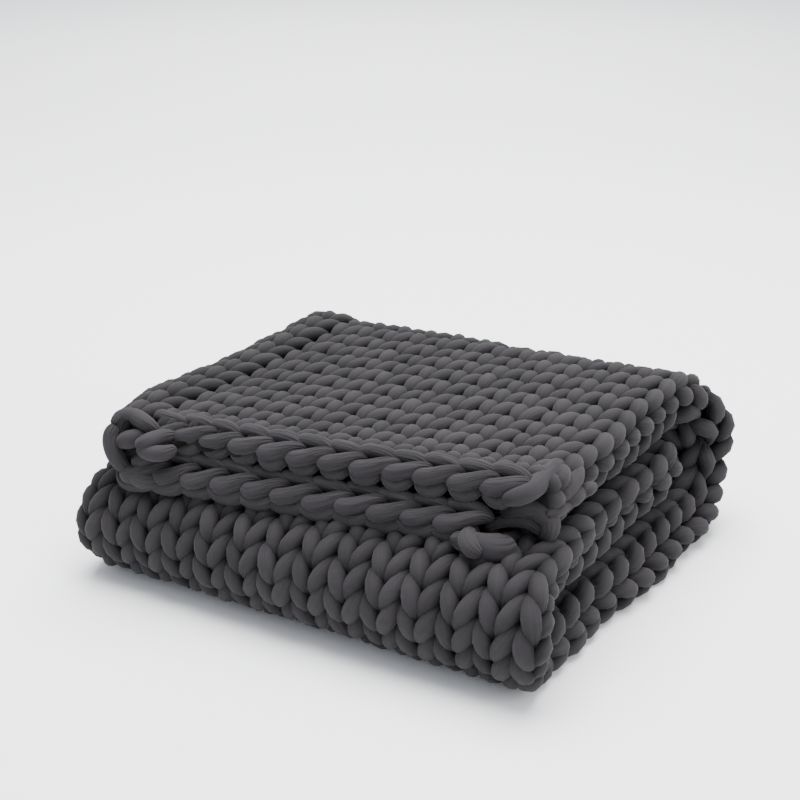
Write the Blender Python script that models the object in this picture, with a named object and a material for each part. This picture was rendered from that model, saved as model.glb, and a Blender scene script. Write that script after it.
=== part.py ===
"""Chunky hand-knitted weighted blanket, folded and resting on its underside.

The blanket is one sheet of stocking-stitch knitting, about 1.2 by 1.5 metres. It is folded twice:
first in half across its width, with the knit side out and the fold at the left, and then in three
along its length. That gives a stack of six layers. From the top down they are

    top pair      from the front edge of the stack to the back fold
    middle pair   from the front fold back into the stack, where the sheet ends
    bottom pair   between the back fold and the front fold

Each pair is an outer sheet and an inner sheet, joined round the left-hand fold. The solid is made by
carrying the hairpin section of such a pair along the path that the pair takes through the stack.

Metres, +Z up, +X along the front edge, -Y to the front. The origin is the middle of the underside.
"""

import math

import bmesh
import bpy
from mathutils import Matrix, Vector

# The knitting
COLUMNS = 13            # columns of stitches across a pair, from the selvedge to the fold
LAYER = 0.035           # thickness of one layer of knitting as it lies
GAP = 0.0025            # air between two layers
PITCH = LAYER + GAP     # from one layer to the next
HALF_PAIR = PITCH - GAP / 2.0       # from the middle of a pair to its outer face

# The stack
WIDTH = 0.620           # left fold to the right-hand selvedges
DEPTH = 0.575           # front fold to back fold
TOP_SETBACK = 0.028     # front edge of the top pair at the left, behind the face of the front fold
END_CLEARANCE = 0.002   # how far the hidden end of the sheet stops before the back fold's centre

# Columns of stitches, raised as ribs on the face of the knitting
RIB_DEPTH = 0.0065
RIB_SHOULDER = 0.27     # the flat crown of a rib starts this far across the column
RIB_FADE = 0.35         # share of the back fold's turn in which the ribs fade to the flat underside

# Where the selvedges and the fold lie at each place on the path of the pair, in path order.
# recess: how far the selvedge of the outer and of the inner sheet lies in from the right-hand side.
# push: how far the left-hand fold is pushed out past the left-hand side.
PLACES = (
    # place            outer_recess  inner_recess  push
    ("top_front",      0.056,        0.072,        -0.022),
    ("top_middle",     0.045,        0.053,         0.005),
    ("top_back",       0.037,        0.047,        -0.001),
    ("back_fold",     -0.004,        0.024,         0.004),
    ("bottom_back",   -0.008,        0.016,         0.008),
    ("bottom_front",   0.026,        0.028,         0.014),
    ("front_fold",     0.016,        0.032,         0.017),
    ("middle_front",   0.040,        0.038,         0.012),
    ("middle_back",    0.016,        0.024,         0.002),
)
TOP_MIDDLE = 0.25       # how far along the top its middle row holds
SELVEDGE_WAVE = 0.003
SELVEDGE_WAVE_LENGTH = 0.19

# How the stack has settled: height at each place, as a share of the plain height
SETTLE_MEAN = 0.932
SETTLE_RIGHT = 0.034    # higher at the right
SETTLE_FRONT = 0.004    # and at the front
HUMP = 0.020            # over the roll of the front fold
HUMP_Y = -0.160
HUMP_REACH = 0.075
SWAY = 0.008            # slow unevenness of the top
BACK_CORNERS = 0.028    # the corners stand up at the back

# The front edge of the top pair
EDGE_BOW = 0.036        # lies further back at the right than at the left
EDGE_BOW_WIDTH = 0.26
EDGE_LIP = 0.016        # its lower face comes further to the front than its upper one
EDGE_SAG = 0.80         # and sags by this share of the way that the roll below it falls away
EDGE_REACH = 0.24       # how far back from the edge these show
CORNER_BOW = 0.030      # the chain lies further back still towards the right-hand corner
CORNER_BOW_START = -0.080
CORNER_BOW_WIDTH = 0.28
CORNER_NEAR = 0.035     # fully up to here from the edge,
CORNER_FAR = 0.105      # and no more from here on

# The chain of big loops along the front edge of the top pair is thicker than the knitting behind it
CHAIN_REACH = 0.060
CHAIN_FULLNESS = 0.14   # extra thickness of each sheet, as a share
CHAIN_SPREAD = 0.0028   # each sheet moves this far from the middle of the pair
CHAIN_LIFT = 0.0045     # and the pair moves up by this

# Finish
YARN_COLOUR = (0.060, 0.058, 0.061, 1.0)
YARN_ROUGHNESS = 0.92

X_RIGHT = WIDTH / 2.0
X_FOLD = -WIDTH / 2.0 + HALF_PAIR       # centre line of the left-hand fold
X_LEFT = -X_RIGHT
Y_FRONT = -DEPTH / 2.0
FRONT_RADIUS = PITCH                    # of the middle of the pair, round the front fold
ROLL_RADIUS = FRONT_RADIUS + HALF_PAIR  # of the outside of the front fold
BACK_RADIUS = 2.0 * PITCH               # and round the back fold
Y_FRONT_FOLD = Y_FRONT + FRONT_RADIUS + HALF_PAIR
Y_BACK_FOLD = -Y_FRONT - BACK_RADIUS - HALF_PAIR
Z_BOTTOM = HALF_PAIR
Z_MIDDLE = Z_BOTTOM + 2.0 * FRONT_RADIUS
Z_TOP = Z_BOTTOM + 2.0 * BACK_RADIUS

# Rounding of the two ends of the sheet: (distance from the end, share of the full thickness)
EDGE_ROUNDING = ((0.0, 0.46), (0.005, 0.82), (0.015, 1.0), (0.045, 1.0))


class Station:
    """A place on the path of the pair, with the way its outer sheet faces."""

    def __init__(self, y, z, facing, ends, rib=1.0, from_front=1.0, fullness=1.0):
        self.y = y
        self.z = z
        self.facing = facing
        self.outer_recess, self.inner_recess, self.push = ends
        self.rib = rib                  # share of the full rib depth
        self.from_front = from_front    # distance from the front edge of the top pair
        self.fullness = fullness        # share of the full thickness

    def chain(self):
        """1 on the chain along the front edge, falling to 0 in the plain knitting."""
        return max(0.0, 1.0 - self.from_front / CHAIN_REACH) ** 0.5


def eased(value, low, high):
    """0 below low, 1 above high and a smooth step between them."""
    share = min(1.0, max(0.0, (value - low) / (high - low)))
    return share * share * (3.0 - 2.0 * share)


def ends_between(first, second, share):
    """The recesses and the push between two named places."""
    rows = {row[0]: row[1:] for row in PLACES}
    ease = eased(share, 0.0, 1.0)
    return [a + (b - a) * ease for a, b in zip(rows[first], rows[second])]


def straight(start, end, z, facing, first, second, rib, steps):
    """Stations along a flat run from y = start to y = end, without its first one."""
    return [Station(start + (end - start) * i / steps, z, facing,
                    ends_between(first, second, i / steps), rib)
            for i in range(1, steps + 1)]


def round_fold(centre_y, centre_z, radius, side, first, halfway, last, steps):
    """Stations round a fold, without its first one. side is 1 at the back and -1 at the front."""
    stations = []
    for i in range(1, steps + 1):
        turn = i / steps
        angle = math.pi * turn
        facing = Vector((side * math.sin(angle), side * math.cos(angle)))
        to_floor = 1.0 - turn if side > 0 else turn
        if turn <= 0.5:
            ends = ends_between(first, halfway, 2.0 * turn)
        else:
            ends = ends_between(halfway, last, 2.0 * turn - 1.0)
        stations.append(Station(centre_y + radius * facing.x, centre_z + radius * facing.y,
                                facing, ends, min(1.0, to_floor / RIB_FADE)))
    return stations


def top_run():
    """Stations of the top pair, from its front edge to the back fold."""
    up = Vector((0.0, 1.0))
    y_edge = Y_FRONT + TOP_SETBACK
    length = Y_BACK_FOLD - y_edge
    distances = [s for s, full in EDGE_ROUNDING]
    steps = 7
    last = distances[-1]
    distances += [last + (length - last) * i / steps for i in range(1, steps + 1)]
    fullness = [full for s, full in EDGE_ROUNDING] + [1.0] * steps
    stations = []
    for s, full in zip(distances, fullness):
        share = s / length
        if share < TOP_MIDDLE:
            ends = ends_between("top_front", "top_middle", share / TOP_MIDDLE)
        else:
            ends = ends_between("top_middle", "top_back", (share - TOP_MIDDLE) / (1.0 - TOP_MIDDLE))
        stations.append(Station(y_edge + s, Z_TOP, up, ends, 1.0, s, full))
    return stations


def path_of_the_pair():
    """Every station, from the front edge of the top pair to the hidden end of the middle pair."""
    up = Vector((0.0, 1.0))
    down = Vector((0.0, -1.0))
    path = top_run()
    path += round_fold(Y_BACK_FOLD, Z_MIDDLE, BACK_RADIUS, 1,
                       "top_back", "back_fold", "bottom_back", 10)
    path += straight(Y_BACK_FOLD, Y_FRONT_FOLD, Z_BOTTOM, down, "bottom_back", "bottom_front", 0.0, 5)
    path += round_fold(Y_FRONT_FOLD, Z_BOTTOM + FRONT_RADIUS, FRONT_RADIUS, -1,
                       "bottom_front", "front_fold", "middle_front", 10)
    y_end = Y_BACK_FOLD - END_CLEARANCE
    path += straight(Y_FRONT_FOLD, y_end - EDGE_ROUNDING[-1][0], Z_MIDDLE, up,
                     "middle_front", "middle_back", 1.0, 5)
    at_end = ends_between("middle_front", "middle_back", 1.0)
    path += [Station(y_end - s, Z_MIDDLE, up, at_end, fullness=full)
             for s, full in reversed(EDGE_ROUNDING[:-1])]
    return path


def ribs(x_from, x_to):
    """(x, depth) of the ribbed face of the outer sheet, from the selvedge to the fold."""
    points = []
    width = (x_from - x_to) / COLUMNS
    for i in range(COLUMNS):
        left = x_from - width * i
        if i:
            points.append((left, RIB_DEPTH))
        points.append((left - RIB_SHOULDER * width, 0.0))
        points.append((left - (1.0 - RIB_SHOULDER) * width, 0.0))
    points.append((x_to, RIB_DEPTH * 0.5))
    return points


def hairpin(station):
    """Section of the pair as a closed loop of (x, height over the middle of the pair)."""
    outer_x = X_RIGHT - station.outer_recess
    inner_x = X_RIGHT - station.inner_recess
    fold_x = X_FOLD - station.push
    chain = station.chain()
    middle = PITCH / 2.0 + CHAIN_SPREAD * chain
    half = LAYER / 2.0 * station.fullness * (1.0 + CHAIN_FULLNESS * chain)
    nose = LAYER * 0.22

    def sheet_end(x, side):
        """The rounded selvedge of one sheet, from its outer face to the face inside the pair."""
        return [(x - nose, side * (middle + half * 0.86)), (x, side * (middle + half * 0.30)),
                (x, side * (middle - half * 0.30)), (x - nose, side * (middle - half * 0.86))]

    loop = []
    # outer face of the outer sheet, from the right to the left
    outer_face = ribs(outer_x - nose, fold_x)
    loop += [(x, middle + half - station.rib * min(depth, half * 0.5)) for x, depth in outer_face]
    # round the outside of the left-hand fold
    fold_steps = 6
    for i in range(1, fold_steps):
        angle = math.pi * i / fold_steps
        radius = middle + half
        loop.append((fold_x - radius * math.sin(angle), radius * math.cos(angle)))
    # outer face of the inner sheet, from the left to the right
    plain_steps = 9
    for i in range(plain_steps + 1):
        x = fold_x + (inner_x - 2.0 * nose - fold_x) * i / plain_steps
        loop.append((x, -(middle + half)))
    loop += sheet_end(inner_x, -1)
    # inside the pair, back to the fold and out again
    for i in range(plain_steps + 1):
        x = inner_x - 2.0 * nose - (inner_x - 2.0 * nose - fold_x) * i / plain_steps
        loop.append((x, -(middle - half)))
    loop.append((fold_x - (middle - half), 0.0))
    for i in range(plain_steps + 1):
        x = fold_x + (outer_x - 2.0 * nose - fold_x) * i / plain_steps
        loop.append((x, middle - half))
    loop += reversed(sheet_end(outer_x, 1))
    return loop


def settle(x, y, z):
    """Share of its plain height that the stack keeps at x, y."""
    share = SETTLE_MEAN + SETTLE_RIGHT * x / X_RIGHT + SETTLE_FRONT * y / Y_FRONT
    share += HUMP * math.exp(-((y - HUMP_Y) / HUMP_REACH) ** 2)
    share += SWAY * math.sin(9.0 * x + 1.3) * math.cos(11.0 * y - 0.6)
    share += BACK_CORNERS * (x / X_RIGHT) ** 4 * max(0.0, y / -Y_FRONT)
    return z * share


def fall_of_roll(y):
    """How far the roll of the front fold has fallen away from its crown at y."""
    run = min(ROLL_RADIUS, max(0.0, Y_FRONT + ROLL_RADIUS - y))
    return ROLL_RADIUS - math.sqrt(ROLL_RADIUS ** 2 - run ** 2)


def shape_edge(x, y, z, height, from_front):
    """Bows, slants and sags a point near the front edge of the top pair."""
    near_edge = (1.0 - from_front / EDGE_REACH) ** 2
    from_left = min(1.0, max(0.0, (x - X_LEFT) / EDGE_BOW_WIDTH))
    below = min(1.0, 0.5 - 0.5 * height / HALF_PAIR)
    y += near_edge * (EDGE_BOW * from_left * (2.0 - from_left) - EDGE_LIP * below)
    to_corner = min(1.0, max(0.0, (x - CORNER_BOW_START) / CORNER_BOW_WIDTH))
    y += CORNER_BOW * to_corner * (1.0 - eased(from_front, CORNER_NEAR, CORNER_FAR))
    return x, y, z - EDGE_SAG * below * fall_of_roll(y)


def place(station, x, height):
    """A point of the section, carried to its station and settled."""
    y = station.y + station.facing.x * height
    z = station.z + station.facing.y * height
    if station.from_front < EDGE_REACH:
        z += CHAIN_LIFT * station.chain()
        x, y, z = shape_edge(x, y, z, height, station.from_front)
    if x > 0.0:
        x += SELVEDGE_WAVE * x / X_RIGHT * math.sin(2.0 * math.pi * y / SELVEDGE_WAVE_LENGTH + 40.0 * z)
    return Vector((x, y, settle(x, y, z)))


def yarn_material():
    """Matte charcoal jersey, the cover of the yarn."""
    material = bpy.data.materials.new("charcoal_yarn")
    material.use_nodes = True
    shader = material.node_tree.nodes["Principled BSDF"]
    shader.inputs["Base Color"].default_value = YARN_COLOUR
    shader.inputs["Roughness"].default_value = YARN_ROUGHNESS
    shader.inputs["Metallic"].default_value = 0.0
    return material


def folded_blanket():
    """The whole sheet as one closed solid."""
    mesh_builder = bmesh.new()
    rings = []
    for station in path_of_the_pair():
        rings.append([mesh_builder.verts.new(place(station, x, height))
                      for x, height in hairpin(station)])
    for ring, following in zip(rings, rings[1:]):
        count = len(ring)
        for i in range(count):
            j = (i + 1) % count
            mesh_builder.faces.new((ring[i], ring[j], following[j], following[i]))
    mesh_builder.faces.new(reversed(rings[0]))
    mesh_builder.faces.new(rings[-1])
    bmesh.ops.recalc_face_normals(mesh_builder, faces=mesh_builder.faces)

    xs, ys, zs = zip(*(vertex.co for vertex in mesh_builder.verts))
    to_origin = Vector((-(min(xs) + max(xs)) / 2.0, -(min(ys) + max(ys)) / 2.0, -min(zs)))
    bmesh.ops.transform(mesh_builder, matrix=Matrix.Translation(to_origin), verts=mesh_builder.verts)

    mesh = bpy.data.meshes.new("folded_blanket")
    mesh_builder.to_mesh(mesh)
    mesh_builder.free()
    mesh.materials.append(yarn_material())
    mesh.shade_smooth()
    mesh.set_sharp_from_angle(angle=math.radians(60.0))
    blanket = bpy.data.objects.new("folded_blanket", mesh)
    bpy.context.collection.objects.link(blanket)
    return blanket


def main():
    """Clears the scene and builds the blanket."""
    for old in list(bpy.data.objects):
        bpy.data.objects.remove(old, do_unlink=True)
    folded_blanket()


main()
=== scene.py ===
"""Looks of a folded, chunky hand-knitted weighted blanket.

The blanket is one sheet of stocking stitch, folded in half across its width and then in three along its
length. Every row of stitches is made as one tube of yarn. The yarn's path is worked out on the flat
knitting, in columns and rows, and is then carried onto the folded sheet.

    column    counted from the right-hand selvedge of a sheet, one for each column of stitches
    row       counted from the front edge of the top pair, along the folded path
    height    over the middle of a sheet, towards the side with the Vs, in metres

Each pair of sheets has an outer sheet, side 1, and an inner sheet, side -1, joined round the left fold.
"""

import math

import bpy
import numpy as np
from mathutils import Matrix, Vector


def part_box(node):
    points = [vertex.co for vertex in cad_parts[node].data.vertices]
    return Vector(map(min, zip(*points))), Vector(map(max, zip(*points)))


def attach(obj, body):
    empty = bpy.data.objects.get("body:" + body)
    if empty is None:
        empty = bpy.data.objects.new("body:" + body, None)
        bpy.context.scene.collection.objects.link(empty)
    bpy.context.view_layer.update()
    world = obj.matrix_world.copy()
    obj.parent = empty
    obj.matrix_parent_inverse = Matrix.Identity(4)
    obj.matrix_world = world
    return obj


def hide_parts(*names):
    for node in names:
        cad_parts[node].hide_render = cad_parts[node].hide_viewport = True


bl_info = {
    "name": "Folded knitted blanket",
    "version": (1, 0, 0),
    "blender": (4, 5, 0),
    "location": "3D View > Sidebar > Knit",
    "description": "Stitches, chain edge, selvedges and yarn of a folded chunky knitted blanket",
    "category": "Object",
}

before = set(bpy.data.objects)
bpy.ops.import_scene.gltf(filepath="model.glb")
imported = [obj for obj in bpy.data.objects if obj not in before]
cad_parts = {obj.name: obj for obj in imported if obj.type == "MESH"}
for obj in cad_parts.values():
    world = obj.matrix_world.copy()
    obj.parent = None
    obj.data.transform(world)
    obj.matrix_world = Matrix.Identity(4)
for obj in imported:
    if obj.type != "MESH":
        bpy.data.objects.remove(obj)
NODE = "folded_blanket"
YARN_MATERIAL = "knit_jersey"
BODY = "root"
BOX_LOW, BOX_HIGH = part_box(NODE)
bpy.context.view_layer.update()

# The stack of sheets, as the solid has it
LAYER = 0.035
GAP = 0.0025
PITCH = LAYER + GAP
HALF_PAIR = PITCH - GAP / 2.0
WIDTH = 0.620
DEPTH = 0.575
TOP_SETBACK = 0.028
END_CLEARANCE = 0.002
X_RIGHT = WIDTH / 2.0
X_LEFT = -X_RIGHT
X_FOLD = X_LEFT + HALF_PAIR
Y_FRONT = -DEPTH / 2.0
FRONT_RADIUS = PITCH
BACK_RADIUS = 2.0 * PITCH
ROLL_RADIUS = FRONT_RADIUS + HALF_PAIR
Y_EDGE = Y_FRONT + TOP_SETBACK
Y_FRONT_FOLD = Y_FRONT + FRONT_RADIUS + HALF_PAIR
Y_BACK_FOLD = -Y_FRONT - BACK_RADIUS - HALF_PAIR
Z_BOTTOM = HALF_PAIR
Z_MIDDLE = Z_BOTTOM + 2.0 * FRONT_RADIUS
Z_TOP = Z_BOTTOM + 2.0 * BACK_RADIUS

# Lengths of the five stretches of the path, along the middle of a pair
TOP_LENGTH = Y_BACK_FOLD - Y_EDGE
BACK_LENGTH = math.pi * BACK_RADIUS
BOTTOM_LENGTH = Y_BACK_FOLD - Y_FRONT_FOLD
FRONT_LENGTH = math.pi * FRONT_RADIUS
MIDDLE_LENGTH = Y_BACK_FOLD - END_CLEARANCE - Y_FRONT_FOLD
TOP_END = TOP_LENGTH
BACK_END = TOP_END + BACK_LENGTH
BOTTOM_END = BACK_END + BOTTOM_LENGTH
FRONT_END = BOTTOM_END + FRONT_LENGTH
MIDDLE_END = FRONT_END + MIDDLE_LENGTH
TOP_MIDDLE = 0.25

# Recess of the selvedge of the outer and of the inner sheet, and push of the left fold, along the path
PLACES = (
    # distance                        outer_recess  inner_recess  push
    (0.0,                             0.056,        0.072,        -0.022),
    (TOP_MIDDLE * TOP_LENGTH,         0.045,        0.053,         0.005),
    (TOP_END,                         0.037,        0.040,        -0.001),
    (TOP_END + BACK_LENGTH / 2.0,    -0.004,        0.006,         0.004),
    (BACK_END,                       -0.008,        0.008,         0.008),
    (BOTTOM_END,                      0.026,        0.028,         0.014),
    (BOTTOM_END + FRONT_LENGTH / 2.0, 0.009,        0.032,         0.017),
    (FRONT_END,                       0.022,        0.034,         0.012),
    (FRONT_END + 0.12,                0.038,        0.038,         0.009),
    (MIDDLE_END,                      0.016,        0.024,         0.002),
)
LARGEST_PUSH = max(row[3] for row in PLACES)
SHIFT_X = BOX_LOW.x - (X_LEFT - LARGEST_PUSH)       # from the stack's own middle to the frame's

SELVEDGE_WAVE = 0.003
SELVEDGE_WAVE_LENGTH = 0.19
SETTLE_MEAN = 0.932
SETTLE_RIGHT = 0.034
SETTLE_FRONT = 0.004
HUMP = 0.020
HUMP_Y = -0.160
HUMP_REACH = 0.075
SWAY = 0.008
BACK_CORNERS = 0.028
EDGE_BOW = 0.036
EDGE_BOW_WIDTH = 0.26
EDGE_LIP = 0.016
EDGE_SAG = 0.80
EDGE_REACH = 0.24
CORNER_BOW = 0.030
CORNER_BOW_START = -0.080
CORNER_BOW_WIDTH = 0.28
CORNER_NEAR = 0.035
CORNER_FAR = 0.105
CHAIN_REACH = 0.060
CHAIN_LIFT = 0.0045

# Columns of stitches along the path: x of column 1 and the width of a column on the outer sheet, the angle
# through which its selvedge curls, in radians, and the radius of the curl
COLUMN_PLACES = (
    # distance                         first_x  width   turn  radius
    (0.0,                              0.2417,  0.0393, 2.7,  0.006),
    (TOP_END,                          0.2417,  0.0393, 2.7,  0.006),
    (BACK_END,                         0.2880,  0.0445, 2.7,  0.006),
    (BOTTOM_END,                       0.2655,  0.0449, 2.9,  0.004),
    (BOTTOM_END + FRONT_LENGTH / 2.0,  0.2655,  0.0449, 3.2,  0.001),
    (FRONT_END,                        0.2655,  0.0449, 2.9,  0.006),
    (MIDDLE_END,                       0.2620,  0.0440, 2.7,  0.006),
)
INNER_TURN = 2.2                # angle through which the selvedge of the inner sheet curls
CURL_NEUTRAL = 0.0085           # how far outside the curl's radius its length is true
OUTER_LAST = 15.0               # rows run from column 0 to here on the outer sheet, and
INNER_LAST = 13.0               # to here on the inner sheet: the two meet in the left fold

# Rows: (row, distance along the path), for the outer and for the inner sheet
FIRST_ROW_PLACE = 0.0880
OUTER_ROWS = (
    (0.0, FIRST_ROW_PLACE),
    (9.0, TOP_END),
    (17.4, BACK_END),
    (27.2, BOTTOM_END),
    (33.6, FRONT_END),
    (43.6, MIDDLE_END),
)
INNER_ROWS = (
    (0.0, FIRST_ROW_PLACE),
    (9.0, TOP_END),
    (13.2, BACK_END),
    (23.2, BOTTOM_END),
    (24.4, FRONT_END),
    (34.4, MIDDLE_END),
)

# The rows run slightly askew: rows farther along at the right, up to the middle of the left fold
ROW_SLANT = 0.070
SLANT_COLUMN = 8.5

# On the top, the last column of stitches before the left fold stands up as a ridge, beside a dip
RIDGE_COLUMN = 13.6
RIDGE_REACH = 0.5
RIDGE_HEIGHT = 0.0065
DIP_HEIGHT = -0.0030
RIDGE_FADE = 0.08               # length over which it fades away past the top

# The stitch, in columns and rows
LEG_LEAN = 0.05                 # columns a row that the legs lean over
LOOP_REACH = 0.95               # from the middle of a stitch to its head
FRONT_LOOP_REACH = 1.10         # the same in the front fold, where the stitches are drawn longer
INNER_SPREAD = 0.26             # how far the legs of a V open on the inner sheet
SELVEDGE_DRAW = 0.30            # share of its reach by which the outermost leg is shorter,
SELVEDGE_SWELL = 0.10           # and share by which its yarn is fuller,
SELVEDGE_START = 0.70           # from this column outwards,
SELVEDGE_RANGE = 0.60           # in full after this many columns
YARN = 0.0108                   # radius of the yarn
RELIEF = 0.0095                 # the legs stand this far over the middle of the sheet
THIN = 0.50                     # share of the yarn's radius where it is pinched
SWELL = 0.52                    # and how much more it has in the middle of a leg

SHEET_CORE = 0.030              # depth from which the valleys between the legs are judged, for their painted shade
VALLEY_DEPTH = 0.0125           # how much nearer to it a valley gets its darkest painted shade
FLOOR_PRESS = 0.004             # yarn that is lower than this is pressed flat on the floor

# Unevenness of the stitches, in columns, rows, metres and as a share of the yarn's radius
COLUMN_NOISE = 0.022
ROW_NOISE = 0.035
HEIGHT_NOISE = 0.0009
YARN_NOISE = 0.035

# Seed of the unevenness, and what is added to it for each kind of strand
SEED = 11
INNER_SEED = 10
CHAIN_SEED = 50
TURN_SEED = 60


def smooth(share):
    """Smoothstep, clipped to 0 and 1."""
    share = np.clip(share, 0.0, 1.0)
    return share * share * (3.0 - 2.0 * share)


def between_places(distance, column):
    """A column of PLACES, eased from row to row of it."""
    knots = np.array([row[0] for row in PLACES])
    values = np.array([row[column] for row in PLACES])
    i = np.clip(np.searchsorted(knots, distance, side="right") - 1, 0, len(knots) - 2)
    share = smooth((distance - knots[i]) / (knots[i + 1] - knots[i]))
    return values[i] + (values[i + 1] - values[i]) * share


def reading(rows, at, column=1):
    """Straight-line reading of a column of a table, carried on past both of its ends."""
    x = np.array([row[0] for row in rows])
    y = np.array([row[column] for row in rows])
    low = y[0] + (at - x[0]) * (y[1] - y[0]) / (x[1] - x[0])
    high = y[-1] + (at - x[-1]) * (y[-1] - y[-2]) / (x[-1] - x[-2])
    return np.where(at < x[0], low, np.where(at > x[-1], high, np.interp(at, x, y)))


def path_place(distance):
    """(y, z, facing y, facing z) of the middle of the pair at a distance along its path."""
    back_angle = (distance - TOP_END) / BACK_RADIUS
    front_angle = (distance - BOTTOM_END) / FRONT_RADIUS
    on_top = distance <= TOP_END
    on_back = ~on_top & (distance <= BACK_END)
    on_bottom = (distance > BACK_END) & (distance <= BOTTOM_END)
    on_front = (distance > BOTTOM_END) & (distance <= FRONT_END)
    stretches = [on_top, on_back, on_bottom, on_front]
    zero = np.zeros_like(distance)
    one = np.ones_like(distance)
    facing_y = np.select(stretches, [zero, np.sin(back_angle), zero, -np.sin(front_angle)], zero)
    facing_z = np.select(stretches, [one, np.cos(back_angle), -one, -np.cos(front_angle)], one)
    y = np.select(stretches,
                  [Y_EDGE + distance,
                   Y_BACK_FOLD + BACK_RADIUS * facing_y,
                   Y_BACK_FOLD - (distance - BACK_END),
                   Y_FRONT_FOLD + FRONT_RADIUS * facing_y],
                  Y_FRONT_FOLD + (distance - FRONT_END))
    z = np.select(stretches,
                  [Z_TOP * one,
                   Z_MIDDLE + BACK_RADIUS * facing_z,
                   Z_BOTTOM * one,
                   Z_BOTTOM + FRONT_RADIUS + FRONT_RADIUS * facing_z],
                  Z_MIDDLE * one)
    return y, z, facing_y, facing_z


def settle(x, y, z):
    """Share of its plain height that the stack keeps at x, y, applied to z."""
    share = SETTLE_MEAN + SETTLE_RIGHT * x / X_RIGHT + SETTLE_FRONT * y / Y_FRONT
    share = share + HUMP * np.exp(-((y - HUMP_Y) / HUMP_REACH) ** 2)
    share = share + SWAY * np.sin(9.0 * x + 1.3) * np.cos(11.0 * y - 0.6)
    share = share + BACK_CORNERS * (x / X_RIGHT) ** 4 * np.maximum(0.0, y / -Y_FRONT)
    return z * share


def fall_of_roll(y):
    """How far the roll of the front fold has fallen away from its crown at y."""
    run = np.clip(Y_FRONT + ROLL_RADIUS - y, 0.0, ROLL_RADIUS)
    return ROLL_RADIUS - np.sqrt(ROLL_RADIUS ** 2 - run ** 2)


def on_blanket(side, column, distance, height):
    """Points of the folded blanket, from places on its knitting."""
    recess = between_places(distance, 1 if side > 0 else 2)
    push = between_places(distance, 3)
    first_x, width, turn, radius = (reading(COLUMN_PLACES, distance, i) for i in (1, 2, 3, 4))
    fold_radius = PITCH / 2.0 + RELIEF
    x_curl = X_RIGHT - recess - radius - RELIEF - YARN
    x_fold = X_FOLD - push
    x_end = x_curl + (radius + CURL_NEUTRAL) * turn
    fold_column = 1.0 + (first_x - x_fold) / width
    if side < 0:
        fold_column = OUTER_LAST + INNER_LAST - fold_column - math.pi * fold_radius / width
        x_end = x_curl + (radius + CURL_NEUTRAL) * INNER_TURN
        width = (x_end - x_fold) / fold_column
        first_x = x_end - width

    # flat part, with a narrower or wider column at the selvedge
    x = first_x - (column - 1.0) * width
    x = np.where(column < 1.0, first_x + (1.0 - column) * (x_end - first_x), x)
    if side > 0:
        from_ridge = (column - RIDGE_COLUMN) / RIDGE_REACH
        ridge = RIDGE_HEIGHT * np.exp(-from_ridge ** 2) + DIP_HEIGHT * np.exp(-(from_ridge + 2.0) ** 2)
        height = height + ridge * (1.0 - smooth((distance - TOP_END) / RIDGE_FADE))
    over = PITCH / 2.0 + height
    # selvedge, curled towards the back of the knitting
    angle = (x - x_curl) / (radius + CURL_NEUTRAL)
    curled = angle > 0.0
    x = np.where(curled, x_curl + (radius + height) * np.sin(angle), x)
    over = np.where(curled, PITCH / 2.0 - radius + (radius + height) * np.cos(angle), over)
    # left fold
    angle = (column - fold_column) * width / fold_radius
    folded = column > fold_column
    x = np.where(folded, x_fold - (PITCH / 2.0 + height) * np.sin(angle), x)
    over = np.where(folded, (PITCH / 2.0 + height) * np.cos(angle), over)
    over = over * side

    y, z, facing_y, facing_z = path_place(distance)
    y = y + facing_y * over
    z = z + facing_z * over
    near = distance < EDGE_REACH
    chain = np.sqrt(np.clip(1.0 - distance / CHAIN_REACH, 0.0, 1.0))
    near_edge = np.where(near, (1.0 - np.clip(distance, 0.0, EDGE_REACH) / EDGE_REACH) ** 2, 0.0)
    from_left = np.clip((x - X_LEFT) / EDGE_BOW_WIDTH, 0.0, 1.0)
    below = np.clip(0.5 - 0.5 * over / HALF_PAIR, 0.0, 1.0)
    y = y + near_edge * (EDGE_BOW * from_left * (2.0 - from_left) - EDGE_LIP * below)
    to_corner = np.clip((x - CORNER_BOW_START) / CORNER_BOW_WIDTH, 0.0, 1.0)
    y = y + CORNER_BOW * to_corner * (1.0 - smooth((distance - CORNER_NEAR) / (CORNER_FAR - CORNER_NEAR)))
    z = z + np.where(near, CHAIN_LIFT * chain - EDGE_SAG * below * fall_of_roll(y), 0.0)
    wave = SELVEDGE_WAVE * x / X_RIGHT * np.sin(2.0 * math.pi * y / SELVEDGE_WAVE_LENGTH + 40.0 * z)
    x = x + np.where(x > 0.0, wave, 0.0)
    z = settle(x, y, z)
    return np.stack([x + SHIFT_X, y, z], -1)


def above_floor(points):
    """Presses what would go through the floor flat onto it."""
    z = points[..., 2]
    pressed = FLOOR_PRESS * np.exp(np.minimum(0.0, (z - FLOOR_PRESS) / FLOOR_PRESS))
    points[..., 2] = np.where(z < FLOOR_PRESS, pressed, z)
    return points


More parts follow.
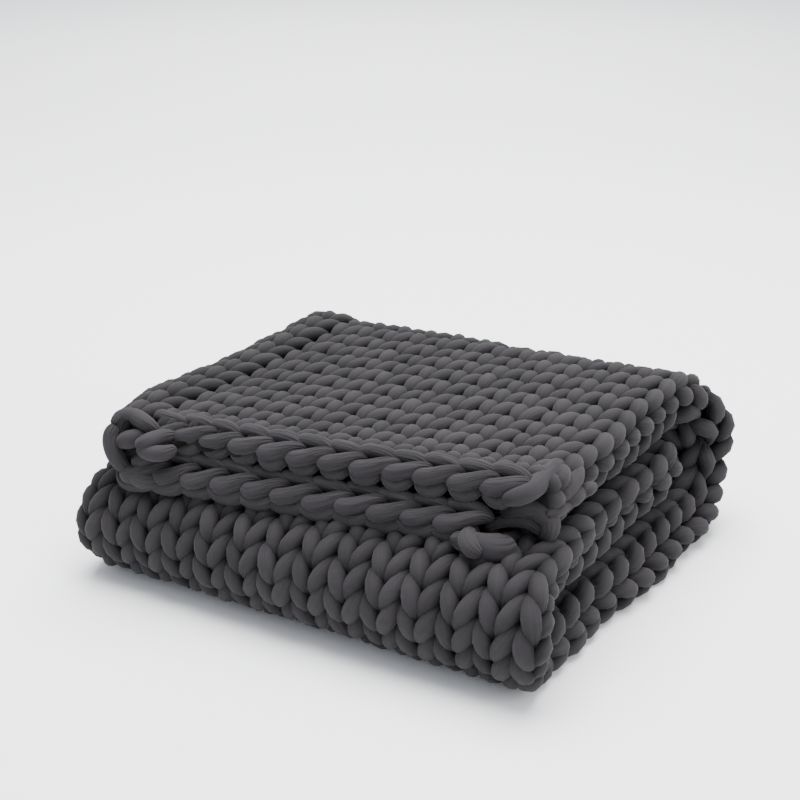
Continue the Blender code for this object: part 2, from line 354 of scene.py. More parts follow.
def tubes(paths, radii, sides):
    """Rings of vertices round many paths at once, with frames that don't twist.

    paths has the shape (tubes, rings, 3) and radii (tubes, rings). Returns (tubes, rings, sides, 3).
    """
    tangents = np.gradient(paths, axis=1)
    tangents /= np.linalg.norm(tangents, axis=-1, keepdims=True) + 1e-12
    start = np.zeros_like(tangents[:, 0])
    start[:, 2] = 1.0
    steep = np.abs(tangents[:, 0, 2]) > 0.9
    start[steep] = (1.0, 0.0, 0.0)
    normal = start - tangents[:, 0] * (start * tangents[:, 0]).sum(-1, keepdims=True)
    normal /= np.linalg.norm(normal, axis=-1, keepdims=True)
    normals = np.empty_like(paths)
    normals[:, 0] = normal
    for i in range(1, paths.shape[1]):
        along = tangents[:, i]
        normal = normal - along * (normal * along).sum(-1, keepdims=True)
        normal /= np.linalg.norm(normal, axis=-1, keepdims=True)
        normals[:, i] = normal
    across = np.cross(tangents, normals)
    angles = 2.0 * math.pi * np.arange(sides) / sides
    ring = (np.cos(angles)[:, None] * normals[:, :, None, :]
            + np.sin(angles)[:, None] * across[:, :, None, :])
    return paths[:, :, None, :] + ring * radii[:, :, None, None]


class Yarns:
    """Collects the tubes of one piece, and makes them into a mesh."""

    def __init__(self):
        self.batches = []

    def add(self, paths, radii, pinch, cores, reach, sides):
        """Tubes with the same number of rings.

        pinch is 1 where the yarn is drawn together. cores are points deep inside, and reach is how far the
        outermost surface stands from them: what is nearer to them lies in a valley, where the material
        paints shade into the yarn's colour.
        """
        rings = tubes(paths, radii, sides)
        # valley, 0 to 1: how deep a point lies between the legs; the material paints it darker as shade
        outward = np.linalg.norm(rings - cores[:, :, None, :], axis=-1)
        valley = np.clip((reach - outward) / VALLEY_DEPTH, 0.0, 1.0)
        self.batches.append((above_floor(rings), paths, valley, pinch))

    def strips(self):
        """(tubes, rings) of every batch."""
        return [batch[0].shape[:2] for batch in self.batches]

    def mesh(self, name):
        """All tubes as one mesh, with its UV map and the attributes that the material reads."""
        points = []
        faces = []
        caps = []
        loops_uv = []
        yarn_space = []
        pinches = []
        valleys = []
        count = sum(tubes_in for tubes_in, rings in self.strips())
        offset = 0
        strip = 0
        for rings, paths, valley, pinch in self.batches:
            n_tubes, n_rings, sides, _ = rings.shape
            points.append(rings.reshape(-1, 3))
            step = np.linalg.norm(np.diff(paths, axis=1), axis=-1)
            along = np.concatenate([np.zeros((n_tubes, 1)), np.cumsum(step, axis=1)], axis=1)
            angles = 2.0 * math.pi * np.arange(sides) / sides
            shape = (n_tubes, n_rings, sides)
            space = np.stack([np.broadcast_to(YARN * np.cos(angles), shape),
                              np.broadcast_to(YARN * np.sin(angles), shape),
                              np.broadcast_to((along + 3.0 * np.arange(n_tubes)[:, None])[:, :, None],
                                              shape)], -1)
            yarn_space.append(space.reshape(-1, 3))
            pinches.append(np.broadcast_to(pinch[:, :, None], shape).reshape(-1))
            valleys.append(valley.reshape(-1))
            index = offset + np.arange(n_tubes * n_rings * sides).reshape(shape)
            following = np.roll(index, -1, axis=2)
            quads = np.stack([index[:, :-1], following[:, :-1], following[:, 1:], index[:, 1:]], -1)
            faces.append(quads.reshape(-1, 4))
            # each tube is unrolled into a strip of its own
            u = np.broadcast_to(np.linspace(0.002, 0.998, n_rings)[None, :, None], (n_tubes, n_rings, 1))
            v0 = (strip + np.arange(n_tubes)) / count
            j = np.arange(sides)
            low = v0[:, None, None] + (0.03 + 0.94 * j / sides) / count + 0.0 * u
            high = v0[:, None, None] + (0.03 + 0.94 * (j + 1) / sides) / count + 0.0 * u
            u = u + 0.0 * low
            uv = np.stack([np.stack([u[:, :-1], low[:, :-1]], -1), np.stack([u[:, :-1], high[:, :-1]], -1),
                           np.stack([u[:, 1:], high[:, 1:]], -1), np.stack([u[:, 1:], low[:, 1:]], -1)], -2)
            loops_uv.append(uv.reshape(-1, 2))
            caps.append((index[:, 0, ::-1], v0, 0.001))
            caps.append((index[:, -1], v0, 0.999))
            offset += index.size
            strip += n_tubes
        quads = np.concatenate(faces)
        cap_sizes = []
        cap_loops = []
        cap_uv = []
        for corners, v0, u in caps:
            n_tubes, sides = corners.shape
            cap_loops.append(corners.reshape(-1))
            cap_sizes.append(np.full(n_tubes, sides))
            turn = 2.0 * math.pi * np.arange(sides) / sides
            at = np.stack([u + 0.0008 * np.cos(turn), 0.5 + 0.3 * np.sin(turn)], -1)
            uv = np.broadcast_to(at, (n_tubes, sides, 2)).copy()
            uv[:, :, 1] = v0[:, None] + uv[:, :, 1] / count
            cap_uv.append(uv.reshape(-1, 2))
        loops = np.concatenate([quads.reshape(-1)] + cap_loops)
        sizes = np.concatenate([np.full(len(quads), 4)] + cap_sizes)
        starts = np.concatenate([[0], np.cumsum(sizes)[:-1]])
        vertices = np.concatenate(points)
        mesh = bpy.data.meshes.new(name)
        mesh.vertices.add(len(vertices))
        mesh.vertices.foreach_set("co", vertices.astype(np.float32).ravel())
        mesh.loops.add(len(loops))
        mesh.loops.foreach_set("vertex_index", loops.astype(np.int32))
        mesh.polygons.add(len(sizes))
        mesh.polygons.foreach_set("loop_start", starts.astype(np.int32))
        layer = mesh.uv_layers.new(name="OFBake")
        layer.uv.foreach_set("vector", np.concatenate(loops_uv + cap_uv).astype(np.float32).ravel())
        space = mesh.attributes.new("yarn_space", "FLOAT_VECTOR", "POINT")
        space.data.foreach_set("vector", np.concatenate(yarn_space).astype(np.float32).ravel())
        for attribute, values in (("pinch", pinches), ("valley", valleys)):
            made = mesh.attributes.new(attribute, "FLOAT", "POINT")
            made.data.foreach_set("value", np.concatenate(values).astype(np.float32))
        mesh.update(calc_edges=True)
        mesh.validate()
        mesh.shade_smooth()
        return mesh

    def piece(self, name):
        """The finished object, riding on the blanket's body in place of its plain solid."""
        mesh = self.mesh(name)
        mesh.materials.append(yarn_material())
        made = bpy.data.objects.new(name, mesh)
        bpy.context.scene.collection.objects.link(made)
        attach(made, BODY)
        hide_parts(NODE)
        return made


def leg_noise(random, rows, at, size):
    """Smooth unevenness along each row, with a new value for each leg of a stitch."""
    first = math.floor(at.min() * 2.0) - 1
    count = math.ceil(at.max() * 2.0) - first + 2
    values = random.normal(0.0, size, (rows, count))
    place = at * 2.0 - 0.5 - first
    i = np.floor(place).astype(int)
    share = smooth(place - i)
    return values[:, i] * (1.0 - share) + values[:, i + 1] * share


def row_distance(side, row):
    """Distance along the path of places on the rows of a sheet."""
    return reading(OUTER_ROWS if side > 0 else INNER_ROWS, row)


def stitch_rows(side, first_row, last_row, spread, reach, end, rings, seed):
    """Whole rows of stitches, one yarn for each row.

    spread is how far the legs of a V open, and reach is how far they go from the middle of the stitch.
    """
    random = np.random.default_rng(SEED + seed)
    rows = np.arange(first_row, last_row + 1)
    at = np.linspace(0.0, end, round(end * rings) + 1)
    turn = 2.0 * math.pi * at
    n = len(rows)
    leg = np.abs(np.sin(turn))[None, :]
    column = (at + spread * np.sin(2.0 * turn) + LEG_LEAN * np.cos(turn)
              + leg_noise(random, n, at, COLUMN_NOISE))
    to_selvedge = smooth((SELVEDGE_START - at) / SELVEDGE_RANGE)
    reach = reach * (1.0 - SELVEDGE_DRAW * to_selvedge)
    row = rows[:, None] - reach * np.cos(turn) + leg_noise(random, n, at, ROW_NOISE)
    height = -RELIEF * np.cos(2.0 * turn) + leg_noise(random, n, at, HEIGHT_NOISE) * leg
    column = np.broadcast_to(column, row.shape)
    if side > 0:
        row = row + ROW_SLANT * (SLANT_COLUMN - column)
    else:
        row = row + ROW_SLANT * (SLANT_COLUMN - OUTER_LAST)
    distance = row_distance(side, row)
    height = np.broadcast_to(height, row.shape)
    radii = YARN * (THIN + SWELL * leg ** 2) * (1.0 + leg_noise(random, n, at, YARN_NOISE))
    radii = radii * (1.0 + SELVEDGE_SWELL * to_selvedge)
    pinch = 1.0 - leg ** 2 + 0.0 * row
    # cores under the sheet place the painted shade in the valleys between the legs
    cores = on_blanket(side, column, distance, -SHEET_CORE + 0.0 * height)
    return on_blanket(side, column, distance, height), radii, pinch, cores, SHEET_CORE + RELIEF + YARN


def spline(points, per_span):
    """Catmull-Rom curve through points, whose shape is (..., number, dimensions)."""
    before = 2.0 * points[..., :1, :] - points[..., 1:2, :]
    after = 2.0 * points[..., -1:, :] - points[..., -2:-1, :]
    p = np.concatenate([before, points, after], axis=-2)
    t = np.linspace(0.0, 1.0, per_span, endpoint=False)[:, None]
    out = []
    for i in range(points.shape[-2] - 1):
        a, b, c, d = (p[..., i + k, None, :] for k in range(4))
        out.append(0.5 * (2.0 * b + (c - a) * t + (2.0 * a - 5.0 * b + 4.0 * c - d) * t ** 2
                          + (3.0 * b - a - 3.0 * c + d) * t ** 3))
    out.append(points[..., -1:, :])
    return np.concatenate(out, axis=-2)


# Chain edge. Its strands are given as (columns along the edge, degrees round it, radius, share of the
# yarn), with 0 degrees facing the front and 90 facing up
CHAIN_RADIUS = 0.0255                      # out to its surface
CHAIN_FIRST = 1.80                         # column of the first link
CHAIN_PITCH = 0.967                        # columns from one to the next
CHAIN_SET_BACK = {1: 0.027, -1: 0.014}     # middle of the chain, from the edge
CHAIN_HEIGHT = {1: -0.0036, -1: 0.0074}
CHAIN_VALLEY_REACH = 0.75 * CHAIN_RADIUS   # what is nearer to its middle lies in a valley, painted darker as shade
LINK_COLUMN_NOISE = 0.02
LINK_TURN_NOISE = 3.0
LINK_RADIUS_NOISE = 0.03
LINK_YARN_NOISE = 0.04
UPPER_LEG = (
    (-0.60, 76.0, 0.0050, 0.46),
    (-0.45, 82.0, 0.0112, 0.62),
    (-0.15, 92.0, 0.0150, 0.78),
    (0.20, 100.0, 0.0160, 0.82),
    (0.50, 103.0, 0.0152, 0.80),
    (0.72, 98.0, 0.0088, 0.70),
)
LOWER_LEG = (
    (-0.60, 66.0, 0.0050, 0.46),
    (-0.45, 52.0, 0.0125, 0.62),
    (-0.15, 30.0, 0.0158, 0.80),
    (0.20, 11.0, 0.0168, 0.90),
    (0.52, 2.0, 0.0165, 0.92),
    (0.72, 8.0, 0.0092, 0.76),
)
CHAIN_HEAD = (0.78, 50.0, 0.0015, 0.68)
CHAIN_LIP = (
    (-0.16, 0.0, 0.0080, 0.44),
    (-0.03, -32.0, 0.0140, 0.66),
    (0.28, -54.0, 0.0172, 0.86),
    (0.56, -36.0, 0.0150, 0.74),
    (0.68, -4.0, 0.0080, 0.46),
)
INNER_LIP = (
    (-0.40, -4.0, 0.0120, 0.44),
    (-0.12, -34.0, 0.0165, 0.78),
    (0.28, -52.0, 0.0185, 0.94),
    (0.68, -36.0, 0.0165, 0.80),
    (0.95, 0.0, 0.0100, 0.46),
)
# for each sheet, the column at which its chain stops, and the lip of its links
CHAIN_LAST = ((1, 12.9, CHAIN_LIP), (-1, 12.0, INNER_LIP))


def round_edge(side, degrees, radius):
    """(distance, height) of places round the chain edge. Up is up on both sheets."""
    turn = np.radians(degrees)
    return CHAIN_SET_BACK[side] - radius * np.cos(turn), CHAIN_HEIGHT[side] + side * radius * np.sin(turn)


def chain_strands(side, links, keys, rings, random):
    """Strands of the chain edge. links are the columns of their middles."""
    keys = np.array(keys)
    count = len(links)
    points = np.broadcast_to(keys, (count,) + keys.shape).copy()
    points[..., 0] += links[:, None] + random.normal(0.0, LINK_COLUMN_NOISE, (count, 1))
    points[..., 1] += random.normal(0.0, LINK_TURN_NOISE, (count, 1))
    points[..., 2] *= 1.0 + random.normal(0.0, LINK_RADIUS_NOISE, (count, 1))
    points[..., 3] *= 1.0 + random.normal(0.0, LINK_YARN_NOISE, (count, 1))
    curve = spline(points, rings)
    column, degrees, radius, share = np.moveaxis(curve, -1, 0)
    distance, height = round_edge(side, degrees, radius)
    along = np.linspace(0.0, 1.0, curve.shape[-2])
    pinch = np.broadcast_to((2.0 * np.abs(along - 0.5)) ** 2, share.shape)
    flat = 0.0 * distance
    # cores in the middle of the chain place the painted shade between its strands
    cores = on_blanket(side, column, CHAIN_SET_BACK[side] + flat, CHAIN_HEIGHT[side] + flat)
    return on_blanket(side, column, distance, height), YARN * share, pinch, cores, CHAIN_VALLEY_REACH


def chain_link_keys():
    """The whole loop of a link: lower leg, head and upper leg."""
    return LOWER_LEG + (CHAIN_HEAD,) + UPPER_LEG[::-1]


# Free strands at the front corners of the top pair. A place is given as the pixel of the view that it is
# seen at, its height over the floor, how far it is then moved back along the view, and its share of the
# yarn. A place of four numbers is given as (x, y, z, share) instead.
FREE_STRANDS = (
    # the last link of the upper chain at the right, drawn up over the corner
    ((506, 500, 0.198, 0.016, 0.55), (514, 499, 0.203, 0.016, 0.90), (530, 492, 0.208, 0.012, 1.05),
     (543, 480, 0.210, 0.006, 1.10), (553, 470, 0.210, 0.003, 1.05), (561, 463, 0.204, 0.0, 0.70)),
    # the first turn of the selvedge beside it
    ((573, 460, 0.200, -0.007, 0.62), (575, 473, 0.196, -0.007, 0.92), (568, 486, 0.190, -0.007, 1.00),
     (554, 498, 0.184, -0.007, 0.85), (542, 505, 0.180, -0.007, 0.55)),
    # the last link of the lower chain
    ((500, 513, 0.168, 0.0, 0.70), (517, 508, 0.176, 0.0, 0.98), (536, 509, 0.176, 0.0, 1.12),
     (549, 520, 0.167, 0.0, 1.10), (0.256, -0.172, 0.155, 0.90), (0.244, -0.168, 0.148, 0.50)),
    # short strands that run on from it to the right
    ((544, 516, 0.172, -0.006, 0.55), (556, 510, 0.175, -0.006, 0.72), (568, 504, 0.174, -0.006, 0.55)),
    ((561, 503, 0.176, -0.006, 0.70), (572, 496, 0.178, -0.006, 1.05), (582, 491, 0.178, -0.006, 0.65)),
    ((580, 493, 0.178, -0.006, 0.50), (587, 489, 0.180, -0.006, 0.72), (594, 485, 0.180, -0.006, 0.50)),
    # a strand over the knot, and the knot of the end of the yarn
    ((484, 528, 0.155, 0.0, 0.50), (505, 521, 0.160, 0.0, 0.66), (528, 522, 0.162, 0.0, 0.70),
     (543, 533, 0.154, 0.0, 0.55)),
    ((450, 536, 0.145, -0.013, 0.70), (466, 541, 0.143, -0.013, 1.15), (484, 546, 0.141, -0.013, 1.40),
     (502, 547, 0.141, -0.013, 1.50), (513, 541, 0.145, -0.013, 1.05)),
    ((471, 528, 0.150, -0.018, 0.60), (467, 537, 0.147, -0.018, 0.98), (471, 547, 0.143, -0.018, 0.92),
     (480, 554, 0.138, -0.018, 0.50)),
    # the left end of the upper chain
    ((160, 434, 0.192, 0.0, 0.55), (147, 424, 0.202, 0.0, 0.88), (134, 417, 0.204, 0.0, 0.98),
     (122, 418, 0.203, 0.0, 0.95), (114, 427, 0.196, 0.0, 0.72)),
    ((116, 424, 0.199, 0.0, 0.62), (111, 435, 0.187, 0.0, 0.88), (112, 448, 0.172, 0.0, 0.92),
     (119, 461, 0.156, 0.0, 0.90), (131, 474, 0.142, 0.0, 0.62)),
    ((117, 443, 0.178, 0.0, 0.62), (127, 440, 0.183, 0.0, 1.00), (139, 437, 0.187, 0.0, 0.90),
     (150, 434, 0.188, 0.0, 0.55)),
    ((136, 445, 0.184, -0.003, 0.60), (147, 443, 0.187, -0.003, 1.00), (161, 438, 0.190, -0.003, 0.95),
     (178, 434, 0.192, -0.003, 0.55)),
    ((138, 449, 0.179, -0.002, 0.55), (150, 453, 0.178, -0.002, 0.85), (164, 453, 0.180, -0.002, 0.85),
     (177, 448, 0.184, -0.002, 0.55)),
    # stuffing behind them, inside the left fold
    ((113, 447, 0.168, 0.015, 1.00), (121, 449, 0.165, 0.015, 1.35), (133, 452, 0.162, 0.015, 1.45),
     (147, 455, 0.160, 0.015, 1.20)),
    # the left end of the lower chain
    ((120, 462, 0.153, 0.0, 0.55), (133, 475, 0.142, 0.0, 0.88), (149, 481, 0.139, 0.0, 0.96),
     (168, 478, 0.143, 0.0, 0.60)),
    ((132, 463, 0.153, -0.004, 0.60), (144, 461, 0.156, -0.004, 0.98), (158, 463, 0.155, -0.004, 0.98),
     (172, 468, 0.151, -0.004, 0.55)),
)

# The view
VIEW_AZIMUTH = 30.19
VIEW_ELEVATION = 21.90
FOCAL_PIXELS = 1450.0
FRAME_PIXELS = 800.0
SENSOR = 36.0
VIEW_CENTRE = Vector((0.0, 0.0, 0.1))
VIEW_DEPTH = 1.807
CENTRE_PIXEL = (418.0, 470.1)              # where the middle of the blanket falls in the frame


def view_frame():
    """Place of the eye, and the directions right, up and forward of the view."""
    azimuth = math.radians(VIEW_AZIMUTH)
    elevation = math.radians(VIEW_ELEVATION)
    right = Vector((math.cos(azimuth), math.sin(azimuth), 0.0))
    forward = Vector((-math.sin(azimuth) * math.cos(elevation), math.cos(azimuth) * math.cos(elevation),
                      -math.sin(elevation)))
    up = right.cross(forward)
    scale = VIEW_DEPTH / FOCAL_PIXELS
    eye = VIEW_CENTRE - VIEW_DEPTH * forward
    eye -= (CENTRE_PIXEL[0] - FRAME_PIXELS / 2.0) * scale * right
    eye += (CENTRE_PIXEL[1] - FRAME_PIXELS / 2.0) * scale * up
    return eye, right, up, forward


def strand_key(key):
    """(x, y, z, share) of a place of FREE_STRANDS."""
    if len(key) == 4:
        return key
    across, down, height, back, share = key
    eye, right, up, forward = view_frame()
    ray = (forward + (across - FRAME_PIXELS / 2.0) / FOCAL_PIXELS * right
           - (down - FRAME_PIXELS / 2.0) / FOCAL_PIXELS * up)
    place = eye + (height - eye.z) / ray.z * ray + back * forward
    return (*place, share)


# Turn of the yarn at a selvedge, as (column, row, height, share of the yarn)
TURN_KEYS = (
    (0.02, 0.0, -RELIEF, 0.60),
    (-0.12, 0.20, -0.004, 0.80),
    (-0.18, 0.5, 0.0, 0.95),
    (-0.12, 0.80, -0.004, 0.80),
    (0.02, 1.0, -RELIEF, 0.60),
)
TURN_NOISE = 0.02
LAST_ROWS = ((1, 42), (-1, 33))            # last row of each sheet


def free_strand(keys, rings):
    """One strand through its places. Nothing of it lies in a valley, so it gets no painted shade."""
    curve = spline(np.array([strand_key(key) for key in keys])[None], rings)
    paths = curve[..., :3]
    along = np.linspace(-1.0, 1.0, curve.shape[-2])
    rounded = np.sqrt(1.0 - 0.96 * along ** 12)
    return paths, YARN * curve[..., 3] * rounded, along[None] ** 2, paths, 0.0


class NodeGroup:
    """A shader node group, made of chains of simple nodes."""

    def __init__(self, name, inputs, outputs):
        self.tree = bpy.data.node_groups.new(name, "ShaderNodeTree")
        for socket, kind, default in inputs:
            made = self.tree.interface.new_socket(socket, in_out="INPUT", socket_type=kind)
            if default is not None:
                made.default_value = default
        for socket, kind in outputs:
            self.tree.interface.new_socket(socket, in_out="OUTPUT", socket_type=kind)
        self.inputs = self.tree.nodes.new("NodeGroupInput").outputs
        self.outputs = self.tree.nodes.new("NodeGroupOutput").inputs

    def put(self, value, socket):
        """Links an output to a socket, or sets the socket to a number."""
        if isinstance(value, (int, float, tuple)):
            socket.default_value = value
        else:
            self.tree.links.new(value, socket)

    def maths(self, operation, *values):
        made = self.tree.nodes.new("ShaderNodeMath")
        made.operation = operation
        for value, socket in zip(values, made.inputs):
            self.put(value, socket)
        return made.outputs[0]

    def noise(self, place, stretch, scale, detail):
        mapping = self.tree.nodes.new("ShaderNodeMapping")
        made = self.tree.nodes.new("ShaderNodeTexNoise")
        self.put(place, mapping.inputs["Vector"])
        self.put(stretch, mapping.inputs["Scale"])
        self.put(mapping.outputs["Vector"], made.inputs["Vector"])
        self.put(scale, made.inputs["Scale"])
        self.put(detail, made.inputs["Detail"])
        return made.outputs["Fac"]

    def blend(self, share, first, second):
        made = self.tree.nodes.new("ShaderNodeMix")
        made.data_type = "RGBA"
        self.put(share, made.inputs["Factor"])
        self.put(first, made.inputs["A"])
        self.put(second, made.inputs["B"])
        return made.outputs["Result"]

    def node_in(self, tree):
        """A node that uses the group in a material's tree."""
        made = tree.nodes.new("ShaderNodeGroup")
        made.node_tree = self.tree
        return made


CREASE_SHARPNESS = 8.0
CREASE_LEAST = 0.08             # depth of the creases where the yarn is full,
CREASE_MORE = 0.92              # and how much deeper they are where it is pinched
# painted shade: how much darker the creases and the valleys between the legs are painted
CREASE_SHADE = 0.80
VALLEY_SHADE = 0.94
VALLEY_POWER = 1.1


def crease_group():
    """Folds that run along the yarn, deepest where it is drawn together, and the grain of the jersey, as
    bump height;
    and painted shade, darker in the folds and in the valleys between the legs.
    """
    group = NodeGroup("jersey_creases",
                      (("Yarn place", "NodeSocketVector", None), ("Object place", "NodeSocketVector", None),
                       ("Pinch", "NodeSocketFloat", 0.0), ("Valley", "NodeSocketFloat", 0.0),
                       ("Grain", "NodeSocketFloat", 0.1)),
                      (("Height", "NodeSocketFloat"), ("Shade", "NodeSocketFloat")))
    fine = group.noise(group.inputs["Yarn place"], (1.0, 1.0, 0.10), 170.0, 2.0)
    ridge = group.maths("MULTIPLY", group.maths("ABSOLUTE", group.maths("SUBTRACT", fine, 0.5)),
                        CREASE_SHARPNESS)
    valley = group.maths("SUBTRACT", 1.0, group.maths("MINIMUM", ridge, 1.0))
    drawn = group.maths("ADD", group.maths("MULTIPLY", group.inputs["Pinch"], CREASE_MORE), CREASE_LEAST)
    depth = group.maths("MULTIPLY", valley, drawn)
    soft = group.noise(group.inputs["Yarn place"], (1.0, 1.0, 0.35), 60.0, 1.0)
    grain = group.noise(group.inputs["Object place"], (1.0, 1.0, 1.0), 900.0, 2.0)
    grain = group.maths("MULTIPLY", grain, group.inputs["Grain"])
    height = group.maths("ADD", group.maths("SUBTRACT", soft, depth), grain)
    group.put(height, group.outputs["Height"])
    # painted shade: the colour is darkened in the folds of the yarn and in the valleys between the legs,
    # where shade falls
    crease_shade = group.maths("SUBTRACT", 1.0, group.maths("MULTIPLY", depth, CREASE_SHADE))
    sunk = group.maths("POWER", group.inputs["Valley"], VALLEY_POWER)
    valley_shade = group.maths("SUBTRACT", 1.0, group.maths("MULTIPLY", sunk, VALLEY_SHADE))
    group.put(group.maths("MULTIPLY", crease_shade, valley_shade), group.outputs["Shade"])
    return group


def tone_group():
    """Slow random change between two tones, darkened towards black by the painted shade."""
    group = NodeGroup("yarn_tone",
                      (("Object place", "NodeSocketVector", None), ("Dark", "NodeSocketColor", None),
                       ("Light", "NodeSocketColor", None), ("Shade", "NodeSocketFloat", 1.0)),
                      (("Color", "NodeSocketColor"),))
    tone = group.noise(group.inputs["Object place"], (1.0, 1.0, 1.0), 14.0, 3.0)
    colour = group.blend(tone, group.inputs["Dark"], group.inputs["Light"])
    black = (0.0, 0.0, 0.0, 1.0)
    # the painted shade darkens the colour towards black
    group.put(group.blend(group.inputs["Shade"], black, colour), group.outputs["Color"])
    return group


def yarn_material():
    """Charcoal jersey yarn: fine grain, creases where it is pinched, a slow random change of tone, and
    painted shade in the creases and in the valleys between the legs.
    """
    found = bpy.data.materials.get(YARN_MATERIAL)
    if found:
        return found
    settings = bpy.context.scene.knit_yarn
    material = bpy.data.materials.new(YARN_MATERIAL)
    material.use_nodes = True
    tree = material.node_tree
    shader = tree.nodes["Principled BSDF"]
    shader.inputs["Roughness"].default_value = 0.9
    shader.inputs["Sheen Weight"].default_value = 0.04
    shader.inputs["Sheen Roughness"].default_value = 0.5
    shader.inputs["Specular IOR Level"].default_value = 0.12
    yarn_place = tree.nodes.new("ShaderNodeAttribute")
    yarn_place.attribute_name = "yarn_space"
    pinch = tree.nodes.new("ShaderNodeAttribute")
    pinch.attribute_name = "pinch"
    valley = tree.nodes.new("ShaderNodeAttribute")
    valley.attribute_name = "valley"
    object_place = tree.nodes.new("ShaderNodeTexCoord").outputs["Object"]
    creases = crease_group().node_in(tree)
    tone = tone_group().node_in(tree)
    bump = tree.nodes.new("ShaderNodeBump")
    bump.inputs["Strength"].default_value = 0.8
    bump.inputs["Distance"].default_value = settings.crease_depth
    tone.inputs["Dark"].default_value = (*settings.dark_colour, 1.0)
    tone.inputs["Light"].default_value = (*settings.light_colour, 1.0)
    for output, socket in (
            (yarn_place.outputs["Vector"], creases.inputs["Yarn place"]),
            (object_place, creases.inputs["Object place"]),
            (pinch.outputs["Fac"], creases.inputs["Pinch"]),
            (valley.outputs["Fac"], creases.inputs["Valley"]),
            (creases.outputs["Height"], bump.inputs["Height"]),
            (bump.outputs["Normal"], shader.inputs["Normal"]),
            (object_place, tone.inputs["Object place"]),
            (creases.outputs["Shade"], tone.inputs["Shade"]),
            (tone.outputs["Color"], shader.inputs["Base Color"])):
        tree.links.new(output, socket)
    return material


class KnitYarnSettings(bpy.types.PropertyGroup):
    """Sizes and colours of the yarn."""

    dark_colour: bpy.props.FloatVectorProperty(
        name="Dark tone", description="Colour of the yarn in its darker patches",
        subtype="COLOR", size=3, min=0.0, max=1.0, default=(0.0222, 0.0203, 0.0224))
    light_colour: bpy.props.FloatVectorProperty(
        name="Light tone", description="Colour of the yarn in its lighter patches",
        subtype="COLOR", size=3, min=0.0, max=1.0, default=(0.0326, 0.0297, 0.0318))
    crease_depth: bpy.props.FloatProperty(
        name="Crease depth", description="How deep the folds along the yarn look",
        default=0.0022, min=0.0, max=0.01, unit="LENGTH")


class KNIT_OT_outer_sheet(bpy.types.Operator):
    """Knits the outer sheet, in five pieces along its path"""

    bl_idname = "knit.outer_sheet"
    bl_label = "Outer sheet"

    def execute(self, context):
        plan = (
            # name              first, last, spread, reach, rings, sides
            ("knit_top",        -1,  9, 0.215, LOOP_REACH, 28, 16),
            ("knit_back_fold",  10, 17, 0.24,  LOOP_REACH, 24, 12),
            ("knit_bottom",     18, 27, 0.26,  LOOP_REACH, 22, 12),
            ("knit_front_fold", 28, 33, 0.245, FRONT_LOOP_REACH, 28, 16),
            ("knit_middle",     34, 42, 0.26,  LOOP_REACH, 24, 12),
        )
        for seed, (name, first, last, spread, reach, rings, sides) in enumerate(plan):
            yarns = Yarns()
            yarns.add(*stitch_rows(1, first, last, spread, reach, OUTER_LAST, rings, seed), sides)
            yarns.piece(name)
        return {"FINISHED"}


class KNIT_OT_inner_sheet(bpy.types.Operator):
    """Knits the inner sheet, in two pieces along its path"""

    bl_idname = "knit.inner_sheet"
    bl_label = "Inner sheet"

    def execute(self, context):
        plan = (
            # name              first, last, rings, sides
            ("knit_inner_top",   0, 12, 20, 12),
            ("knit_inner_rest", 13, 33, 20, 12),
        )
        for seed, (name, first, last, rings, sides) in enumerate(plan):
            yarns = Yarns()
            rows = stitch_rows(-1, first, last, INNER_SPREAD, LOOP_REACH, INNER_LAST, rings,
                               INNER_SEED + seed)
            yarns.add(*rows, sides)
            yarns.piece(name)
        return {"FINISHED"}


class KNIT_OT_chain_edge(bpy.types.Operator):
    """Makes the chain of links along the front edge of the top pair"""

    bl_idname = "knit.chain_edge"
    bl_label = "Chain edge"

    def execute(self, context):
        random = np.random.default_rng(SEED + CHAIN_SEED)
        yarns = Yarns()
        for side, last, lip in CHAIN_LAST:
            links = np.arange(CHAIN_FIRST, last, CHAIN_PITCH)
            yarns.add(*chain_strands(side, links, chain_link_keys(), 6, random), 16)
            yarns.add(*chain_strands(side, links, lip, 8, random), 16)
        for keys in FREE_STRANDS:
            yarns.add(*free_strand(keys, 9), 18)
        yarns.piece("chain_edge")
        return {"FINISHED"}


class KNIT_OT_selvedge_turns(bpy.types.Operator):
    """Makes the loops where the yarn turns from one row to the next at the selvedges"""

    bl_idname = "knit.selvedge_turns"
    bl_label = "Selvedge turns"

    def execute(self, context):
        random = np.random.default_rng(SEED + TURN_SEED)
        yarns = Yarns()
        keys = np.array(TURN_KEYS)
        for side, last in LAST_ROWS:
            rows = np.arange(0, last, 2)
            points = np.broadcast_to(keys, (len(rows),) + keys.shape).copy()
            points[..., 1] += rows[:, None] - LOOP_REACH * (1.0 - SELVEDGE_DRAW)
            points[..., 1] += ROW_SLANT * (SLANT_COLUMN - (0.0 if side > 0 else OUTER_LAST))
            points[..., :2] += random.normal(0.0, TURN_NOISE, points[..., :2].shape)
            curve = spline(points, 7)
            column, row, height, share = np.moveaxis(curve, -1, 0)
            distance = row_distance(side, row)
            pinch = np.abs(np.linspace(-1.0, 1.0, curve.shape[1])) + 0.0 * row
            # cores under the sheet place the painted shade between the turns
            cores = on_blanket(side, column, distance, height - SHEET_CORE)
            paths = on_blanket(side, column, distance, height)
            yarns.add(paths, YARN * share, pinch, cores, SHEET_CORE + YARN, 14)
        yarns.piece("selvedge_turns")
        return {"FINISHED"}


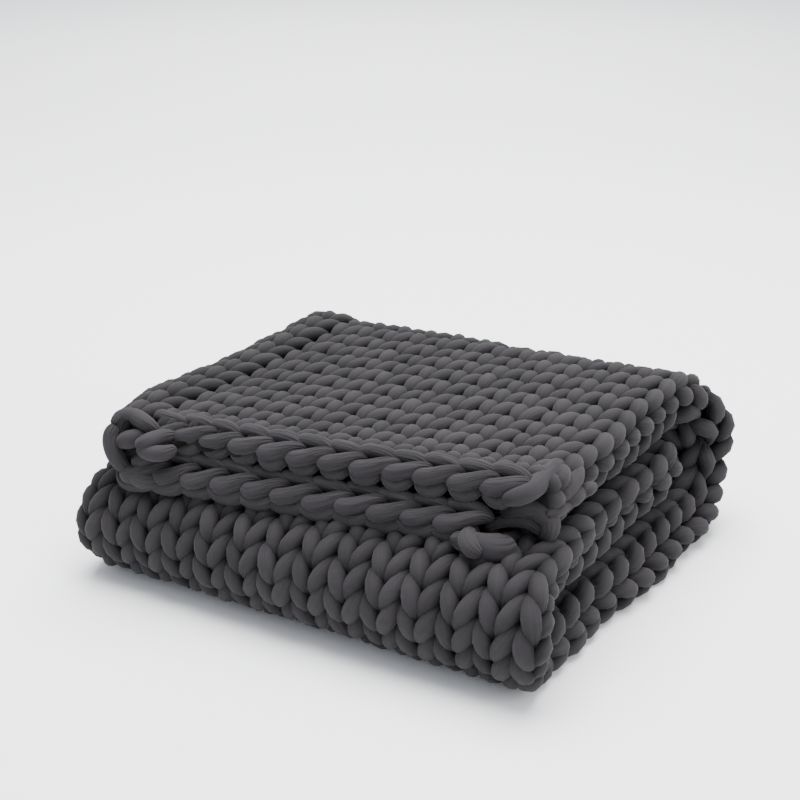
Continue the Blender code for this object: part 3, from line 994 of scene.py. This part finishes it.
def add_camera():
    """The camera, placed so that the middle of the blanket falls where it should in the frame."""
    eye, right, up, forward = view_frame()
    data = bpy.data.cameras.new("camera")
    data.sensor_width = SENSOR
    data.lens = FOCAL_PIXELS / FRAME_PIXELS * SENSOR
    data.clip_start = 0.05
    camera = bpy.data.objects.new("camera", data)
    turn = Matrix((right, up, -forward)).transposed()
    camera.matrix_world = Matrix.Translation(eye) @ turn.to_4x4()
    bpy.context.scene.collection.objects.link(camera)
    bpy.context.scene.camera = camera


LIGHTS = (
    # name        place             target            size  power  colour
    ("overhead",  (-0.2, 0.5, 3.0),  (0.0, 0.0, 0.1),  3.0, 385.0, (1.0, 1.0, 1.0)),
    ("right",     (2.6, -0.2, 1.6),  (0.0, 0.0, 0.1),  1.6, 40.0,  (1.0, 0.98, 0.96)),
    ("far_floor", (-2.2, 3.8, 2.6),  (-2.6, 4.6, 0.0), 3.0, 170.0, (1.0, 1.0, 1.0)),
)


def add_area(name, place, target, size, power, colour):
    """A soft square light at place, facing target."""
    data = bpy.data.lights.new(name, "AREA")
    data.shape = "SQUARE"
    data.size = size
    data.energy = power
    data.color = colour
    light = bpy.data.objects.new(name, data)
    light.location = place
    light.rotation_euler = (Vector(target) - Vector(place)).to_track_quat("-Z", "Y").to_euler()
    bpy.context.scene.collection.objects.link(light)


class KNIT_OT_stage(bpy.types.Operator):
    """Adds the floor, the lights and the camera"""

    bl_idname = "knit.stage"
    bl_label = "Stage"

    def execute(self, context):
        bpy.ops.mesh.primitive_plane_add(size=14.0, location=(0.0, 0.0, 0.0))
        floor = context.object
        floor.name = "floor"
        material = bpy.data.materials.new("pale_floor")
        material.use_nodes = True
        shader = material.node_tree.nodes["Principled BSDF"]
        shader.inputs["Base Color"].default_value = (0.90, 0.90, 0.90, 1.0)
        shader.inputs["Roughness"].default_value = 0.9
        floor.data.materials.append(material)
        world = bpy.data.worlds.new("studio")
        context.scene.world = world
        world.use_nodes = True
        background = world.node_tree.nodes["Background"]
        background.inputs["Color"].default_value = (0.88, 0.92, 1.0, 1.0)
        background.inputs["Strength"].default_value = 1.17
        for light in LIGHTS:
            add_area(*light)
        add_camera()
        return {"FINISHED"}


class KNIT_PT_panel(bpy.types.Panel):
    """Buttons for each part of the blanket"""

    bl_label = "Knitted blanket"
    bl_idname = "KNIT_PT_panel"
    bl_space_type = "VIEW_3D"
    bl_region_type = "UI"
    bl_category = "Knit"

    def draw(self, context):
        settings = context.scene.knit_yarn
        self.layout.prop(settings, "dark_colour")
        self.layout.prop(settings, "light_colour")
        self.layout.prop(settings, "crease_depth")
        for operator in OPERATORS:
            self.layout.operator(operator.bl_idname)


OPERATORS = (KNIT_OT_outer_sheet, KNIT_OT_inner_sheet, KNIT_OT_chain_edge, KNIT_OT_selvedge_turns,
             KNIT_OT_stage)
CLASSES = (KnitYarnSettings,) + OPERATORS + (KNIT_PT_panel,)


def register():
    for cls in CLASSES:
        bpy.utils.register_class(cls)
    bpy.types.Scene.knit_yarn = bpy.props.PointerProperty(type=KnitYarnSettings)


def unregister():
    del bpy.types.Scene.knit_yarn
    for cls in reversed(CLASSES):
        bpy.utils.unregister_class(cls)


def main():
    """Makes every piece and the stage."""
    register()
    bpy.ops.knit.outer_sheet()
    bpy.ops.knit.inner_sheet()
    bpy.ops.knit.chain_edge()
    bpy.ops.knit.selvedge_turns()
    bpy.ops.knit.stage()
    bpy.context.view_layer.update()


if __name__ == "__main__":
    main()
